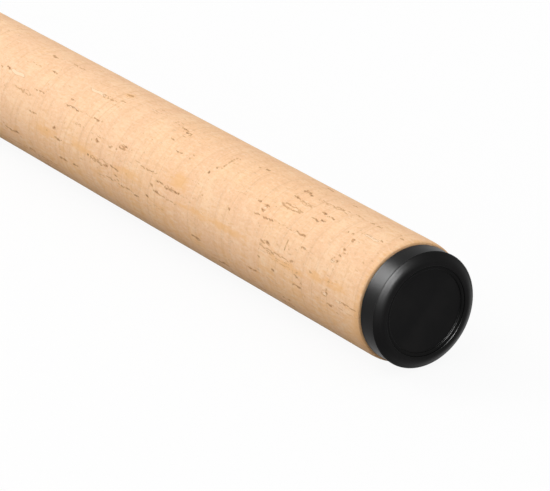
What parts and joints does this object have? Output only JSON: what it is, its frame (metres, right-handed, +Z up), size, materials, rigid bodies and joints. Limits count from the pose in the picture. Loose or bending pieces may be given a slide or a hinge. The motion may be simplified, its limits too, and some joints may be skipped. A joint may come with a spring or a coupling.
{
  "type": "telescopic spinning rod",
  "caption": "Telescopic fishing rod, closed: cork handle with a black screw-in butt cap, screw-lock reel seat, nested tapered sections and stacked line guides.",
  "frame": {"origin": "middle of the outer face of the end disc in the butt cap, on the rod's axis", "axes": "+X along the rod's axis from the butt to the tip, -Y towards the line guides and the reel foot, +Z up as the rod lies on its side"},
  "size_m": [0.5981, 0.0518, 0.0278],
  "materials": {
    "black_anodised": "satin black anodised",
    "end_disc_black": "satin black",
    "cork": "sanded natural cork",
    "graphite_blank": "clear-coated dark graphite",
    "seat_black": "moulded black, satin",
    "polished_steel": "polished stainless steel",
    "black_steel": "black chromed wire",
    "guide_ceramic": "polished dark grey ceramic",
    "rubber": "matt black rubber",
    "liner_plastic": "soft black plastic",
    "arbor_foam": "hard foam",
    "brass": "turned brass",
    "winding_thread": "thread winding under clear resin"
  },
  "bodies": {
    "handle": {"butt_blank": "graphite_blank", "butt_bush": "brass", "butt_ferrule_ring": "black_anodised", "butt_winding": "winding_thread", "rear_grip": "cork", "rear_trim_ring": "black_anodised", "reel_seat_body": "seat_black", "seat_arbor_rear": "arbor_foam", "seat_arbor_middle": "arbor_foam", "seat_arbor_front": "arbor_foam", "fixed_hood": "polished_steel", "fixed_hood_liner": "liner_plastic", "fore_grip": "cork", "front_trim_ring": "black_anodised"},
    "pad": {"shock_pad": "rubber"},
    "cap": {"butt_cap": "black_anodised", "butt_cap_disc": "end_disc_black"},
    "hood": {"sliding_hood": "polished_steel", "sliding_hood_liner": "liner_plastic"},
    "nut": {"lock_nut": "black_anodised"},
    "section_2": {"section_2": "graphite_blank", "guide_2_frame": "black_steel", "guide_2_ring": "guide_ceramic"},
    "section_3": {"section_3": "graphite_blank", "guide_3_frame": "black_steel", "guide_3_ring": "guide_ceramic"},
    "float_a": {"floating_guide_a_frame": "black_steel", "floating_guide_a_ring": "guide_ceramic"},
    "section_4": {"section_4": "graphite_blank", "guide_4_frame": "black_steel", "guide_4_ring": "guide_ceramic"},
    "float_b": {"floating_guide_b_frame": "black_steel", "floating_guide_b_ring": "guide_ceramic"},
    "section_5": {"section_5": "graphite_blank", "tip_guide_frame": "black_steel", "tip_guide_ring": "guide_ceramic"}
  },
  "joints": [
    {"name": "section_2_slide", "type": "slide", "parent": "handle", "child": "section_2", "axis": [1, 0, 0], "range_m": [0, 0.42665]},
    {"name": "section_3_slide", "type": "slide", "parent": "section_2", "child": "section_3", "axis": [1, 0, 0], "range_m": [0, 0.44665]},
    {"name": "section_4_slide", "type": "slide", "parent": "section_3", "child": "section_4", "axis": [1, 0, 0], "range_m": [0, 0.46465]},
    {"name": "section_5_slide", "type": "slide", "parent": "section_4", "child": "section_5", "axis": [1, 0, 0], "range_m": [0, 0.48995]},
    {"name": "float_a_slide", "type": "slide", "parent": "section_3", "child": "float_a", "axis": [1, 0, 0], "range_m": [0, 0.23235]},
    {"name": "float_b_slide", "type": "slide", "parent": "section_4", "child": "float_b", "axis": [1, 0, 0], "range_m": [0, 0.245]},
    {"name": "hood_slide", "type": "slide", "parent": "handle", "child": "hood", "axis": [-1, 0, 0], "range_m": [0, 0.02]},
    {"name": "nut_turn", "type": "hinge", "parent": "hood", "child": "nut", "pos_m": [0.33925, 0, 0], "axis": [-1, 0, 0], "range_deg": [0, 4800]},
    {"name": "cap_slide", "type": "slide", "parent": "handle", "child": "pad", "axis": [-1, 0, 0], "range_m": [0, 0.009]},
    {"name": "cap_turn", "type": "hinge", "parent": "pad", "child": "cap", "pos_m": [0.00525, 0, 0], "axis": [-1, 0, 0], "range_deg": [0, 2160]}
  ],
  "couplings": [
    {"joint": "float_a_slide", "follows": "section_4_slide", "ratio": 0.5},
    {"joint": "float_b_slide", "follows": "section_5_slide", "ratio": 0.5},
    {"joint": "nut_turn", "follows": "hood_slide", "rad_per_m": 4188.8},
    {"joint": "cap_turn", "follows": "cap_slide", "rad_per_m": 4188.8}
  ]
}
